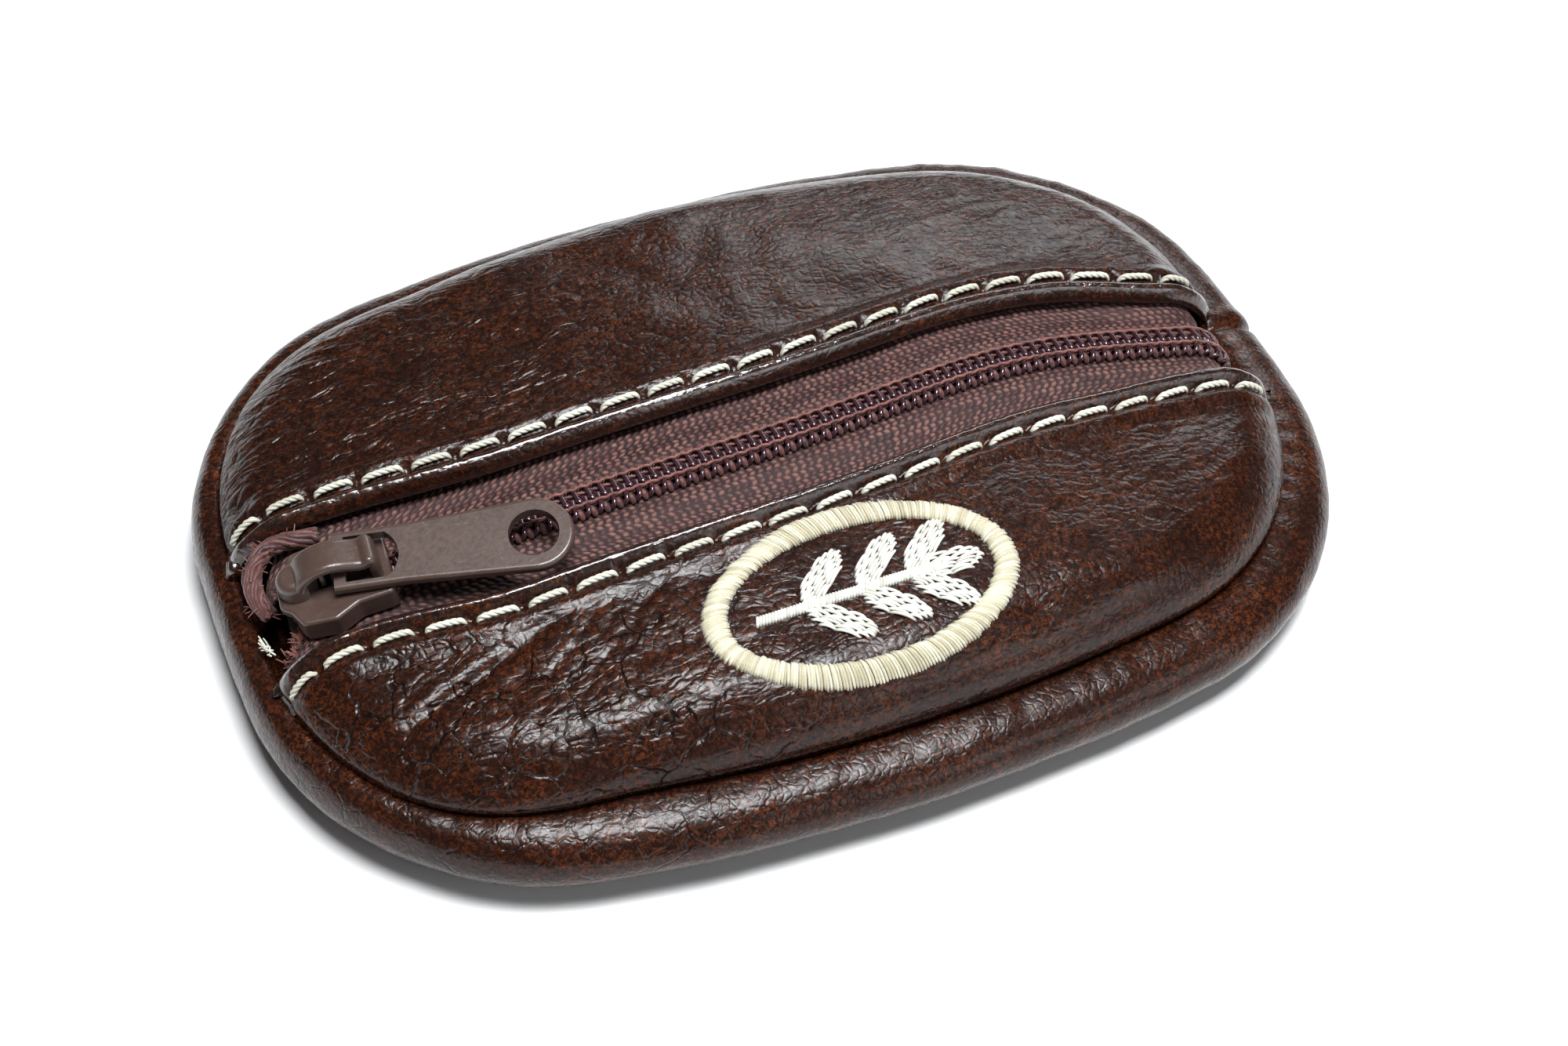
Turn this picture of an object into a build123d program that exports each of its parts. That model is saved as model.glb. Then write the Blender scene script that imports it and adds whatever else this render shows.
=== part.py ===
"""Zippered leather coin pouch, millimetres, +Z up, resting flat on z = 0.

A top of two leather panels with an open coil zip between them, a rolled side
band all round, a flat bottom panel and an auto-lock slider with a long pull.
The zip, its tapes and the slider follow one arc that runs over the top.
"""
import os
from math import atan2, cos, degrees, hypot, pi, radians, sin, sqrt

from build123d import *

os.makedirs("parts", exist_ok=True)

# plan outline of the pouch: tangent arcs
length = 114.0
width = 82.0
side_arc = 179.7
end_arc = 235.5
corner_arc = 31.7

# leather
leather = 1.2
seam_inset = 5.9
allowance = 4.2
seam_z = 8.9
band_foot_z = 1.9
crown_z = 18.8
cross_arc = 200.0
edge_round = 6.5

# zip
zip_y = -4.0
zip_arc = 280.0
front_gap = 8.4
rear_gap = 6.2
tape_drop = 2.65
tape_thick = 0.5
tape_inner = 1.2
tape_outer = 10.0
tape_half_angle = 9.15
pitch = 1.3
coil_start_angle = -8.8
coil_end_angle = 8.95
slider_angle = -9.45
thread = 0.7
stitch_pitch = 4.8

arc_z = crown_z - zip_arc
tape_radius = zip_arc - tape_drop


def corner_centre():
    """Centre of the corner arc that meets the side arc and the end arc."""
    side_y = width / 2 - side_arc
    end_x = length / 2 - end_arc
    gap = hypot(end_x, side_y)
    near = side_arc - corner_arc
    far = end_arc - corner_arc
    along = (near**2 - far**2 + gap**2) / (2 * gap)
    across = sqrt(near**2 - along**2)
    ux = end_x / gap
    uy = -side_y / gap
    return (ux * along + uy * across, side_y + uy * along - ux * across)


corner_x, corner_y = corner_centre()
side_half = degrees(atan2(corner_x, corner_y - (width / 2 - side_arc)))
end_half = degrees(atan2(corner_y, corner_x - (length / 2 - end_arc)))


def oval(inset):
    """Plan outline of the pouch moved inwards by inset, as a face at z = 0."""
    side_y = width / 2 - side_arc
    end_x = length / 2 - end_arc
    sweep = 90 - end_half - side_half
    with BuildSketch() as outline:
        with BuildLine():
            CenterArc((end_x, 0), end_arc - inset, -end_half, 2 * end_half)
            CenterArc((corner_x, corner_y), corner_arc - inset, end_half, sweep)
            CenterArc((0, side_y), side_arc - inset, 90 - side_half, 2 * side_half)
            CenterArc((-corner_x, corner_y), corner_arc - inset, 90 + side_half, sweep)
            CenterArc((-end_x, 0), end_arc - inset, 180 - end_half, 2 * end_half)
            CenterArc((-corner_x, -corner_y), corner_arc - inset, 180 + end_half, sweep)
            CenterArc((0, -side_y), side_arc - inset, 270 - side_half, 2 * side_half)
            CenterArc((corner_x, -corner_y), corner_arc - inset, 270 + side_half, sweep)
        make_face()
    return outline.sketch


def oval_block(inset, low, high):
    """Upright block with the pouch outline."""
    with BuildPart() as block:
        with BuildSketch(Plane.XY.offset(low)):
            add(oval(inset))
        extrude(amount=high - low)
    return block.part


def barrel(drop):
    """Solid under the crowned top surface, lowered by drop."""
    top = crown_z - drop
    reach = 62.0
    edge = top - reach**2 / (2 * zip_arc)
    axis_z = crown_z - cross_arc
    with BuildPart() as solid:
        with BuildSketch(Plane.XZ.offset(-zip_y)):
            with BuildLine():
                ThreePointArc((-reach, edge), (0, top), (reach, edge))
                Line((reach, edge), (reach, axis_z + 120))
                Line((reach, axis_z + 120), (-reach, axis_z + 120))
                Line((-reach, axis_z + 120), (-reach, edge))
            make_face()
        revolve(axis=Axis((0, zip_y, axis_z), (1, 0, 0)), revolution_arc=360)
    return solid.part


def dome(inset, drop, rounding):
    """Crowned block with its top edge rolled over."""
    with BuildPart() as solid:
        add(oval_block(inset, 3.0, crown_z + 3))
        add(barrel(drop), mode=Mode.INTERSECT)
        top = solid.faces().sort_by(Axis.Z)[-1]
        fillet(top.edges(), rounding)
    return solid.part


def slab(y_low, y_high, z_low, z_high):
    """Long box between two heights and two depths."""
    with BuildPart() as box:
        with Locations((0, (y_low + y_high) / 2, (z_low + z_high) / 2)):
            Box(140, y_high - y_low, z_high - z_low)
    return box.part


def on_arc(angle, radius):
    """Place on the zip arc: local X along the zip, local Z outwards."""
    centre = Location((0, zip_y, arc_z))
    return centre * Location((0, 0, 0), (0, angle, 0)) * Location((0, 0, radius))


def arc_strip(y_low, y_high, low, high, start, end):
    """Strip that follows the zip arc between two radii and two angles."""
    a = radians(start)
    b = radians(end)
    m = (a + b) / 2
    with BuildPart() as strip:
        with BuildSketch(Plane.XZ.offset(-y_low)):
            with BuildLine():
                ThreePointArc((high * sin(a), arc_z + high * cos(a)),
                              (high * sin(m), arc_z + high * cos(m)),
                              (high * sin(b), arc_z + high * cos(b)))
                Line((high * sin(b), arc_z + high * cos(b)),
                     (low * sin(b), arc_z + low * cos(b)))
                ThreePointArc((low * sin(b), arc_z + low * cos(b)),
                              (low * sin(m), arc_z + low * cos(m)),
                              (low * sin(a), arc_z + low * cos(a)))
                Line((low * sin(a), arc_z + low * cos(a)),
                     (high * sin(a), arc_z + high * cos(a)))
            make_face()
        extrude(amount=-(y_high - y_low))
    return strip.part


outer_dome = dome(seam_inset, 0.0, edge_round)
inner_dome = dome(seam_inset + leather, leather, edge_round - leather)
hem_dome = dome(seam_inset + leather + 0.8, leather + 0.8, edge_round - leather - 0.8)
top_flange = oval_block(seam_inset, seam_z, seam_z + leather)
flange_hole = oval_block(seam_inset + allowance, seam_z - 1, seam_z + 4)


def top_panel(y_low, y_high, hem_low, hem_high):
    """One half of the top: skin, turned seam edge and the hem by the zip."""
    with BuildPart() as panel:
        add(outer_dome)
        add(inner_dome, mode=Mode.SUBTRACT)
        add(slab(y_low, y_high, seam_z, 30), mode=Mode.INTERSECT)
        with BuildPart(mode=Mode.PRIVATE) as hem:
            add(inner_dome)
            add(hem_dome, mode=Mode.SUBTRACT)
            add(slab(hem_low, hem_high, seam_z + 1, 30), mode=Mode.INTERSECT)
        add(hem.part)
        with BuildPart(mode=Mode.PRIVATE) as flange:
            add(top_flange)
            add(flange_hole, mode=Mode.SUBTRACT)
            add(slab(y_low, y_high, seam_z - 1, 30), mode=Mode.INTERSECT)
        add(flange.part)
    return panel.part


front_edge = zip_y - front_gap
rear_edge = zip_y + rear_gap

with BuildPart() as front_panel:
    add(top_panel(-60, front_edge, front_edge - 4, front_edge))
front_panel.part.label = "front_panel"
export_step(front_panel.part, "parts/front_panel.step")

with BuildPart() as rear_panel:
    add(top_panel(rear_edge, 60, rear_edge, rear_edge + 4))
rear_panel.part.label = "rear_panel"
export_step(rear_panel.part, "parts/rear_panel.step")

# rolled band: a C section that opens inwards, with both seam edges turned in
with BuildPart() as side_band:
    add(oval_block(0, band_foot_z, seam_z))
    rims = side_band.faces().filter_by(Axis.Z)
    fillet(rims.edges(), 3.4)
    with BuildPart(mode=Mode.PRIVATE) as hollow:
        add(oval_block(leather, band_foot_z + leather, seam_z - leather))
        fillet(hollow.faces().filter_by(Axis.Z).edges(), 2.1)
    add(hollow.part, mode=Mode.SUBTRACT)
    add(oval_block(seam_inset + allowance, 0, 20), mode=Mode.SUBTRACT)
side_band.part.label = "side_band"
export_step(side_band.part, "parts/side_band.step")

with BuildPart() as bottom_panel:
    add(oval_block(seam_inset, 0, band_foot_z))
    fillet(bottom_panel.faces().sort_by(Axis.Z)[0].edges(), 1.5)
    add(oval_block(seam_inset + allowance, leather, 5), mode=Mode.SUBTRACT)
bottom_panel.part.label = "bottom_panel"
export_step(bottom_panel.part, "parts/bottom_panel.step")


def stitch(size, span):
    """Short round thread lying along X."""
    with BuildPart() as one:
        Cylinder(size / 2, span, rotation=(0, 90, 0))
    return one.part


def seam_row(inset, z, size, span, step, gap=0.0):
    """Stitches laid along the outline at one height, with a gap round the zip's -X end."""
    path = oval(inset).edges()
    row = []
    for edge in path:
        count = max(1, round(edge.length / step))
        for index in range(count):
            spot = edge.location_at((index + 0.5) / count)
            here = spot.position
            if here.X < -40 and abs(here.Y - zip_y) < gap:
                continue
            ahead = edge.tangent_at((index + 0.5) / count)
            turn = degrees(atan2(ahead.Y, ahead.X))
            row.append(Location((here.X, here.Y, z), (0, 0, turn)) * stitch(size, span))
    return row


with BuildPart() as top_seam_thread:
    add(seam_row(seam_inset + 3.3, seam_z + leather + thread / 2, thread, 2.8, 4.0, 7.5))
top_seam_thread.part.label = "top_seam_thread"
export_step(top_seam_thread.part, "parts/top_seam_thread.step")

with BuildPart() as bottom_seam_thread:
    add(seam_row(seam_inset + 3.3, band_foot_z + leather + thread / 2, thread, 2.8, 4.0))
bottom_seam_thread.part.label = "bottom_seam_thread"
export_step(bottom_seam_thread.part, "parts/bottom_seam_thread.step")

# upright row that closes the band into a ring, on its inner face
with BuildPart() as band_join_thread:
    for z in (4.2, 5.4, 6.6):
        with Locations((length / 2 - leather - 1.0, 8.0, z)):
            Cylinder(0.22, 0.9)
band_join_thread.part.label = "band_join_thread"
export_step(band_join_thread.part, "parts/band_join_thread.step")


def topstitch_row(y):
    """Heavy cream stitches on the leather beside the zip."""
    fall = (y - zip_y) ** 2 / (2 * cross_arc)
    radius = zip_arc - fall + thread / 2 + 0.06
    step = degrees(stitch_pitch / zip_arc)
    row = []
    for index in range(-9, 10):
        spot = on_arc(index * step, radius) * Location((0, y - zip_y, 0))
        row.append(spot * stitch(thread, 3.7))
    return row


with BuildPart() as topstitch_front:
    add(topstitch_row(front_edge - 2.6))
topstitch_front.part.label = "topstitch_front"
export_step(topstitch_front.part, "parts/topstitch_front.step")

with BuildPart() as topstitch_rear:
    add(topstitch_row(rear_edge + 2.4))
topstitch_rear.part.label = "topstitch_rear"
export_step(topstitch_rear.part, "parts/topstitch_rear.step")

# zip tapes lie under the panels and can slide apart there
with BuildPart() as tape_front:
    add(arc_strip(zip_y - tape_outer, zip_y - tape_inner, tape_radius - tape_thick,
                  tape_radius, -tape_half_angle, tape_half_angle))
tape_front.part.label = "tape_front"
export_step(tape_front.part, "parts/tape_front.step")

with BuildPart() as tape_rear:
    add(arc_strip(zip_y + tape_inner, zip_y + tape_outer, tape_radius - tape_thick,
                  tape_radius, -tape_half_angle, tape_half_angle))
tape_rear.part.label = "tape_rear"
export_step(tape_rear.part, "parts/tape_rear.step")


def coil(side, shift):
    """Moulded nylon coil: flattened loops joined along the outer side."""
    step = degrees(pitch / zip_arc)
    count = int((coil_end_angle - coil_start_angle) / step)
    low = tape_radius + 0.03
    with BuildPart() as one_loop:
        with Locations((0, side * 1.0, 0.75)):
            Box(0.5, 2.6, 1.5)
            Box(0.8, 1.6, 0.7, mode=Mode.SUBTRACT)
    loop = one_loop.part
    back = sorted((zip_y + side * 1.9, zip_y + side * 2.28))
    with BuildPart() as whole:
        add(arc_strip(back[0], back[1], low, low + 0.4, coil_start_angle, coil_end_angle))
        for index in range(count):
            angle = coil_start_angle + (index + 0.35 + shift) * step
            add(on_arc(angle, low) * loop)
    return whole.part


with BuildPart() as coil_front:
    add(coil(-1, 0.0))
coil_front.part.label = "coil_front"
export_step(coil_front.part, "parts/coil_front.step")

with BuildPart() as coil_rear:
    add(coil(1, 0.5))
coil_rear.part.label = "coil_rear"
export_step(coil_rear.part, "parts/coil_rear.step")


def core_cord(side):
    """Filler cord that runs inside one coil."""
    with BuildPart() as cord:
        with BuildSketch(Plane.YZ):
            with Locations((zip_y + side * 1.0, arc_z + tape_radius + 0.78)):
                Circle(0.3)
        revolve(axis=Axis((0, 0, arc_z), (0, 1, 0)), revolution_arc=17.65)
    return Location((0, 0, arc_z)) * Location((0, 0, 0), (0, coil_start_angle + 0.02, 0)) * (
        Location((0, 0, -arc_z)) * cord.part)


with BuildPart() as coil_core_front:
    add(core_cord(-1))
coil_core_front.part.label = "coil_core_front"
export_step(coil_core_front.part, "parts/coil_core_front.step")

with BuildPart() as coil_core_rear:
    add(core_cord(1))
coil_core_rear.part.label = "coil_core_rear"
export_step(coil_core_rear.part, "parts/coil_core_rear.step")


def coil_thread(side):
    """Sewing thread beside a coil that holds it to its tape."""
    ends = sorted((zip_y + side * 2.36, zip_y + side * 2.86))
    return arc_strip(ends[0], ends[1], tape_radius + 0.02, tape_radius + 0.28,
                     coil_start_angle, coil_end_angle)


with BuildPart() as coil_thread_front:
    add(coil_thread(-1))
coil_thread_front.part.label = "coil_thread_front"
export_step(coil_thread_front.part, "parts/coil_thread_front.step")

with BuildPart() as coil_thread_rear:
    add(coil_thread(1))
coil_thread_rear.part.label = "coil_thread_rear"
export_step(coil_thread_rear.part, "parts/coil_thread_rear.step")

# slider: local X along the zip, local Z out of the tape's upper face
slider_place = on_arc(slider_angle, tape_radius) * Location((0, -0.1, 0), (0, 0, -6.0))
plate_low = 1.8
plate_high = 2.75
foot_high = -0.85
foot_low = -1.75


def slider_outline():
    """Slider plan: two round shoulders at the nose, narrower at the tail."""
    with BuildSketch() as shape:
        with BuildLine():
            Polyline((-5.5, -1.6), (-4.6, -2.4), (-3.7, -4.3), (-0.6, -4.7), (1.7, -3.6),
                     (5.3, -3.5), (5.3, 3.5), (1.7, 3.6), (-0.6, 4.7), (-3.7, 4.3),
                     (-4.6, 2.4), (-5.5, 1.6), close=True)
        make_face()
        fillet(shape.vertices(), 0.75)
    return shape.sketch


with BuildPart() as slider_shape:
    with BuildSketch(Plane.XY.offset(0.4)):
        add(slider_outline())
    extrude(amount=plate_high - 0.4)
    fillet(slider_shape.faces().sort_by(Axis.Z)[-1].edges(), 0.35)
    with Locations((0, 0, (plate_low + 0.3) / 2)):
        Box(20, 5.9, plate_low - 0.3, mode=Mode.SUBTRACT)
    with BuildSketch(Plane.XY.offset(foot_low)):
        add(slider_outline())
    extrude(amount=foot_high - foot_low)
    with BuildSketch(Plane.XY.offset(foot_high - 0.2)):
        with BuildLine():
            Polyline((-4.8, 0), (-3.6, -0.6), (-2.4, 0), (-3.6, 0.6), close=True)
        make_face()
    extrude(amount=plate_low - foot_high + 0.4)
    with Locations((-0.95, 0, 2.3)):
        Box(1.3, 1.7, 1.4, mode=Mode.SUBTRACT)

with BuildPart() as slider_body:
    add(slider_place * slider_shape.part)
slider_body.part.label = "slider_body"
export_step(slider_body.part, "parts/slider_body.step")

# cap: rounded strip bent over the cross bar of the pull, thick at its nose end
cap_low = plate_high + 0.01
with BuildLine(Plane.XZ) as cap_line:
    Spline((-3.5, cap_low - 0.8), (-2.6, cap_low + 2.25), (0.3, cap_low + 3.1),
           (3.1, cap_low + 2.25), (4.0, cap_low - 0.8), tangents=((0, 1), (0, -1)))
with BuildPart() as cap_nose:
    with Locations((-3.5, 0, cap_low + 1.1)):
        Cylinder(1.75, 2.2)
    fillet(cap_nose.faces().sort_by(Axis.Z)[-1].edges(), 0.9)
    with Locations((-0.45, 0, cap_low + 1.1)):
        Box(4, 4, 4, mode=Mode.SUBTRACT)

with BuildPart() as cap_shape:
    with BuildSketch(Plane(cap_line.line @ 0, x_dir=(0, 1, 0), z_dir=cap_line.line % 0)):
        RectangleRounded(3.5, 1.1, 0.5)
    sweep(path=cap_line.line)
    add(cap_nose.part)
    with Locations((0, 0, cap_low - 2)):
        Box(20, 20, 4, mode=Mode.SUBTRACT)

with BuildPart() as slider_cap:
    add(slider_place * cap_shape.part)
slider_cap.part.label = "slider_cap"
export_step(slider_cap.part, "parts/slider_cap.step")

# locking pin: spring leaf under the cap with its tip through the slider plate
with BuildPart() as pawl_shape:
    with Locations((-1.55, 0, 4.35)):
        Box(1.3, 1.2, 0.35)
    with Locations((-1.05, 0, 3.2)):
        Box(0.35, 1.2, 2.4)

with BuildPart() as lock_pawl:
    add(slider_place * pawl_shape.part)
lock_pawl.part.label = "lock_pawl"
export_step(lock_pawl.part, "parts/lock_pawl.step")

# pull tab: origin on its cross bar, lying along +X
tab_reach = 22.0
tab_round = 3.75
tab_thick = 1.2
hole_at = 18.2


def on_tab_rim(edge):
    """True for the long straight outer edges of the pull."""
    spot = edge.position_at(0.5)
    return abs(spot.Y) > 2.9 and edge.length > 3.0


def on_tab_end(edge):
    """True for the curved outer edges round the pull's far end."""
    return edge.position_at(0.5).X > tab_reach - 0.3 and edge.length > 5.0


with BuildPart() as tab_shape:
    with BuildSketch(Plane.XY.offset(-tab_thick / 2)):
        with BuildLine():
            Line((-0.55, -3.05), (6.0, -3.05))
            Line((6.0, -3.05), (hole_at, -tab_round))
            ThreePointArc((hole_at, -tab_round), (tab_reach, 0), (hole_at, tab_round))
            Line((hole_at, tab_round), (6.0, 3.05))
            Line((6.0, 3.05), (-0.55, 3.05))
            Line((-0.55, 3.05), (-0.55, -3.05))
        make_face()
        with Locations((hole_at, 0)):
            Circle(2.4, mode=Mode.SUBTRACT)
        with BuildLine():
            Line((0.55, -2.35), (4.4, -2.35))
            ThreePointArc((4.4, -2.35), (5.6, 0), (4.4, 2.35))
            Line((4.4, 2.35), (0.55, 2.35))
            Line((0.55, 2.35), (0.55, -2.35))
        make_face(mode=Mode.SUBTRACT)
    extrude(amount=tab_thick)
    rim = tab_shape.edges().filter_by(on_tab_rim)
    fillet(rim + tab_shape.edges().filter_by(on_tab_end), 0.42)

bar_z = plate_high + 1.35
tab_turn = (10.0, 2.2, -9.0)
with BuildPart() as pull_tab:
    add(slider_place * Location((0.9, 0.35, bar_z), tab_turn) * tab_shape.part)
pull_tab.part.label = "pull_tab"
export_step(pull_tab.part, "parts/pull_tab.step")

# embroidery on the front panel: a satin ring around a sprig of leaves
motif_x = -1.5
motif_y = -24.7
lift = 0.45
fabric_top = dome(seam_inset - lift, -lift, edge_round + lift)
leather_top = dome(seam_inset - 0.01, -0.01, edge_round + 0.01)


def embroidered(sketch):
    """Thread patch of the sketch's shape lying on the rolled top."""
    with BuildPart() as patch:
        with BuildSketch(Plane.XY.offset(10)):
            add(sketch)
        extrude(amount=12)
        add(fabric_top, mode=Mode.INTERSECT)
        add(leather_top, mode=Mode.SUBTRACT)
    return patch.part


with BuildSketch() as ring_sketch:
    with Locations((motif_x, motif_y)):
        Ellipse(15.5, 8.9)
        Ellipse(13.3, 6.9, mode=Mode.SUBTRACT)

with BuildPart() as emblem_ring:
    add(embroidered(ring_sketch.sketch))
emblem_ring.part.label = "emblem_ring"
export_step(emblem_ring.part, "parts/emblem_ring.step")


def leaf(x, y, turn, half, wide):
    """Pointed leaf outline between two arcs, as a face."""
    with BuildSketch() as shape:
        with BuildLine():
            ThreePointArc((-half, 0), (0, wide), (half, 0))
            ThreePointArc((half, 0), (0, -wide), (-half, 0))
        make_face()
    return Location((motif_x + x, motif_y + y, 0), (0, 0, turn)) * shape.sketch


with BuildSketch() as sprig_sketch:
    with Locations((motif_x - 1.0, motif_y)):
        Rectangle(19.0, 0.9)
    add(leaf(9.0, 0, 0, 3.2, 1.4))
    for x in (-5.0, 0.5, 5.5):
        add(leaf(x + 1.9, 2.5, 40, 3.3, 1.35))
        add(leaf(x + 1.9, -2.5, -40, 3.3, 1.35))

with BuildPart() as emblem_sprig:
    add(embroidered(sprig_sketch.sketch))
emblem_sprig.part.label = "emblem_sprig"
export_step(emblem_sprig.part, "parts/emblem_sprig.step")
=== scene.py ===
"""Looks for the zippered leather pouch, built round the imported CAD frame.

Sizes below are in millimetres and become metres when a mesh is made. Plan
positions use the row frame: +X along the zip, +Y to the back, +Z up.
"""
import random
from bisect import bisect
from math import atan2, cos, exp, hypot, pi, radians, sin, sqrt

import bpy
from mathutils import Matrix, Vector, noise


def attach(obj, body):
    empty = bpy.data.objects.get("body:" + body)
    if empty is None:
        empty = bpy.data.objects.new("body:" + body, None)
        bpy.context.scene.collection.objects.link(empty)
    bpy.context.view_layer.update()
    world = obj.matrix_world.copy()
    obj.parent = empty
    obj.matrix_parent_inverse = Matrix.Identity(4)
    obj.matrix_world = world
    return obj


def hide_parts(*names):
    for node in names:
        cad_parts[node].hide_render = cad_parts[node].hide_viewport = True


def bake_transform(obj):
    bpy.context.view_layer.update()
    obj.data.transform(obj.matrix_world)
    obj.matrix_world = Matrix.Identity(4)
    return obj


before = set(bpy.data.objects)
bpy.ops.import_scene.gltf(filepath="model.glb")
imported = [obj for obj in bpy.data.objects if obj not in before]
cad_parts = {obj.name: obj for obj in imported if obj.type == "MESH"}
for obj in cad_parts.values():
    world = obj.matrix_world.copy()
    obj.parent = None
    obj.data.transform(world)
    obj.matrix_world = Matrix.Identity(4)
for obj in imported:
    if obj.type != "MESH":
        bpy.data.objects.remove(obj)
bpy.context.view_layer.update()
random.seed(7)

MM = 0.001

# plan outline and sections of the pouch, the same sizes as the CAD
HALF_LENGTH = 57.0
HALF_WIDTH = 41.0
SIDE_ARC = 179.7
END_ARC = 235.5
CORNER_ARC = 31.7
SEAM_INSET = 5.9
SEAM_Z = 8.9
CROWN_Z = 18.8
CROSS_ARC = 200.0
ZIP_ARC = 280.0
ZIP_Y = -4.0
FRONT_EDGE = ZIP_Y - 8.4
REAR_EDGE = ZIP_Y + 6.2
TAPE_DROP = 2.65
ARC_Z = CROWN_Z - ZIP_ARC
TAPE_RADIUS = ZIP_ARC - TAPE_DROP
PITCH = 1.3

# only in the looks: the top's bulge over the band at the slider's end, the zip's
# bend to the back, and the round of the top's edge
SLIDER_END_BULGE = 3.0
ZIP_BEND = 2.9
EDGE_ROUND = 5.8

# thickness of the leather, of the base and of the tape
LEATHER = 0.9
BASE_LEATHER = 1.0
TAPE = 0.4


# ---------------------------------------------------------------- geometry

def corner_centre():
    """Centre of the corner arc that meets the side arc and the end arc."""
    side_y = HALF_WIDTH - SIDE_ARC
    end_x = HALF_LENGTH - END_ARC
    gap = hypot(end_x, side_y)
    near = SIDE_ARC - CORNER_ARC
    far = END_ARC - CORNER_ARC
    along = (near**2 - far**2 + gap**2) / (2 * gap)
    across = sqrt(near**2 - along**2)
    ux, uy = end_x / gap, -side_y / gap
    return ux * along + uy * across, side_y + uy * along - ux * across


CORNER_X, CORNER_Y = corner_centre()
SIDE_HALF = atan2(CORNER_X, CORNER_Y - (HALF_WIDTH - SIDE_ARC))
END_HALF = atan2(CORNER_Y, CORNER_X - (HALF_LENGTH - END_ARC))


def outline_arcs():
    """Arcs of the outline, anticlockwise from the +X end: centre, radius, start, sweep."""
    end_x = HALF_LENGTH - END_ARC
    side_y = HALF_WIDTH - SIDE_ARC
    sweep = pi / 2 - END_HALF - SIDE_HALF
    arcs = [(end_x, 0, END_ARC, 0, END_HALF)]
    arcs.append((CORNER_X, CORNER_Y, CORNER_ARC, END_HALF, sweep))
    arcs.append((0, side_y, SIDE_ARC, pi / 2 - SIDE_HALF, 2 * SIDE_HALF))
    arcs.append((-CORNER_X, CORNER_Y, CORNER_ARC, pi / 2 + SIDE_HALF, sweep))
    arcs.append((-end_x, 0, END_ARC, pi - END_HALF, 2 * END_HALF))
    arcs.append((-CORNER_X, -CORNER_Y, CORNER_ARC, pi + END_HALF, sweep))
    arcs.append((0, -side_y, SIDE_ARC, 3 * pi / 2 - SIDE_HALF, 2 * SIDE_HALF))
    arcs.append((CORNER_X, -CORNER_Y, CORNER_ARC, 3 * pi / 2 + SIDE_HALF, sweep))
    arcs.append((end_x, 0, END_ARC, -END_HALF, END_HALF))
    return arcs


ARCS = outline_arcs()
ARC_LENGTHS = [radius * sweep for _, _, radius, _, sweep in ARCS]
PERIMETER = sum(ARC_LENGTHS)


def outline(run, inset):
    """Point on the outline at run mm from the +X end, moved inwards, and its outward normal."""
    left = run % PERIMETER
    for arc, span in zip(ARCS, ARC_LENGTHS):
        if left <= span or arc is ARCS[-1]:
            cx, cy, radius, start, sweep = arc
            angle = start + sweep * min(1.0, left / span)
            nx, ny = cos(angle), sin(angle)
            reach = radius - inset
            return cx + reach * nx, cy + reach * ny, nx, ny
        left -= span


def depth(x, y):
    """How far inside the outer outline a plan point is."""
    x, y = abs(x), abs(y)
    end_x = HALF_LENGTH - END_ARC
    side_y = HALF_WIDTH - SIDE_ARC
    to_end = END_ARC - hypot(x - end_x, y)
    to_side = SIDE_ARC - hypot(x, y - side_y)
    if x > CORNER_X and y > CORNER_Y:
        turn = atan2(y - CORNER_Y, x - CORNER_X)
        if END_HALF < turn < pi / 2 - SIDE_HALF:
            return CORNER_ARC - hypot(x - CORNER_X, y - CORNER_Y)
    return min(to_end, to_side)


def smooth(low, high, value):
    """0 below low, 1 above high, a smooth step between."""
    t = min(1.0, max(0.0, (value - low) / (high - low)))
    return t * t * (3 - 2 * t)


def bump(centre, spread, value):
    """Bell of height 1 at centre."""
    return exp(-(((value - centre) / spread) ** 2))


def seam_inset(x):
    """Inset of the upper seam; the pouch bulges over its band at the slider's end."""
    return SEAM_INSET - SLIDER_END_BULGE * smooth(-26.0, -48.0, x)


def seam_point(run):
    """Point on the upper seam at that run along the outline, and its outward normal."""
    return outline(run, seam_inset(outline(run, SEAM_INSET)[0]))


def zip_bend(x):
    """How far the sewn zip wanders to the back of its straight line."""
    return ZIP_BEND * bump(27.0, 19.0, x)


def zip_edge(x, side):
    """Plan y of a panel's folded zip edge; the slot narrows at both ends."""
    if side > 0:
        return REAR_EDGE + zip_bend(x) + 2.0 * smooth(-26.0, -50.0, x) - 1.5 * smooth(32.0, 47.0, x)
    return FRONT_EDGE + zip_bend(x) + 2.2 * smooth(-30.0, -47.0, x) + 2.0 * smooth(28.0, 46.0, x)


def crown(x, y):
    """Height of the crowned top before its edge rolls over."""
    fall = ZIP_ARC - sqrt(ZIP_ARC**2 - x * x)
    cross = CROSS_ARC - sqrt(CROSS_ARC**2 - (y - ZIP_Y) ** 2)
    return CROWN_Z - fall - cross


def rolled_top(x, y):
    """Height of the top skin, rolled over towards the seam."""
    inside = depth(x, y) - seam_inset(x)
    z = crown(x, y)
    if inside < EDGE_ROUND:
        gone = EDGE_ROUND - max(0.0, inside)
        z -= EDGE_ROUND - sqrt(max(0.0, EDGE_ROUND**2 - gone**2))
    return z


def ridge(x, y, z, octaves):
    """Sharp creases between rounded swells, about 0 to 1."""
    total = 0.0
    size = 1.0
    share = 0.5
    for _ in range(octaves):
        value = 1 - abs(noise.noise(Vector((x * size, y * size, z * size))))
        total += share * value**4
        size *= 2.1
        share *= 0.5
    return total


def swell(x, y, z, scale):
    """Slow rise and fall, about -1 to 1."""
    return noise.noise(Vector((x / scale, y / scale, z / scale)))


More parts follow.
